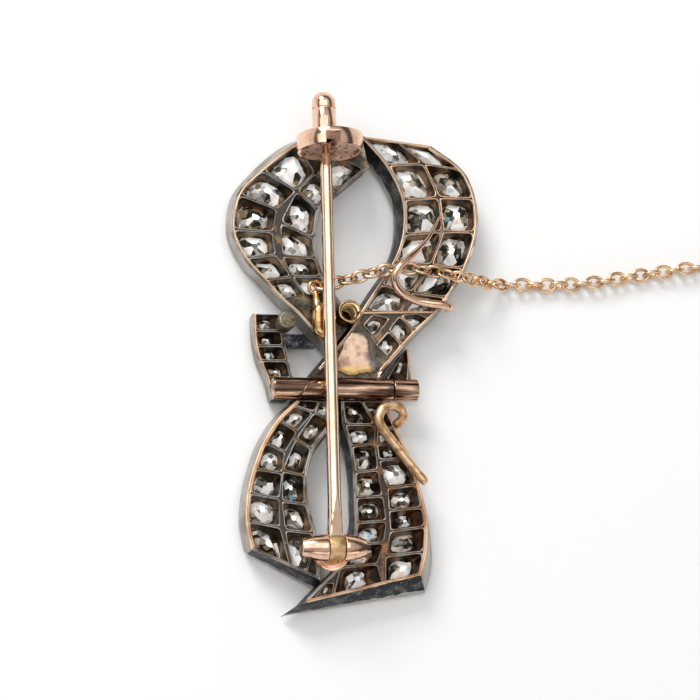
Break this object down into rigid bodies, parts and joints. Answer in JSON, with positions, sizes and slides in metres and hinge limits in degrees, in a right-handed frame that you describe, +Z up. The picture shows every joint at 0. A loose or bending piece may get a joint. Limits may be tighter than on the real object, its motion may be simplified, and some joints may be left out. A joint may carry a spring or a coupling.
{
  "type": "bow brooch with safety chain",
  "caption": "Open-backed bow brooch with set stones, lying face down, with a hinged pin, a sliding catch, a threaded socket, two wire hooks and a safety chain.",
  "frame": {"origin": "middle of the bounding box in plan, on the surface the brooch lies on", "axes": "+Z up, out of the brooch's back; +Y from the pin's hinge to its catch; +X to the side the chain runs out to"},
  "size_m": [0.0562, 0.0473, 0.008],
  "materials": {
    "oxidised_silver": "darkened silver on gold, satin, worn bright along the edges",
    "rose_gold": "polished",
    "yellow_gold": "polished",
    "brass": "satin, dark in the thread",
    "diamond": "cut and polished"
  },
  "bodies": {
    "frame": {"loop_left_band": "oxidised_silver", "loop_right_band": "oxidised_silver", "left_tail": "oxidised_silver", "right_tail": "oxidised_silver", "knot_left": "oxidised_silver", "knot_right": "oxidised_silver", "stud": "oxidised_silver", "loop_left_stones": "diamond", "loop_right_stones": "diamond", "left_tail_stones": "diamond", "right_tail_stones": "diamond", "knot_stones": "diamond", "catch_drum": "rose_gold", "hinge_barrel": "rose_gold", "cross_tube": "rose_gold", "tube_cap": "rose_gold", "upper_hook": "rose_gold", "threaded_socket": "brass", "lower_hook": "yellow_gold", "bolt_ring": "yellow_gold", "safety_chain": "rose_gold", "safety_pin": "yellow_gold"},
    "pin": {"pin_stem": "rose_gold"},
    "plunger": {"catch_plunger": "rose_gold"}
  },
  "joints": [
    {"name": "pin_hinge", "type": "hinge", "parent": "frame", "child": "pin", "pos_m": [-0.02008, -0.0182, 0.0047], "axis": [1, 0, 0], "range_deg": [0, 100]},
    {"name": "catch_slide", "type": "slide", "parent": "frame", "child": "plunger", "axis": [0, 1, 0], "range_m": [-0.0011, 0]}
  ]
}
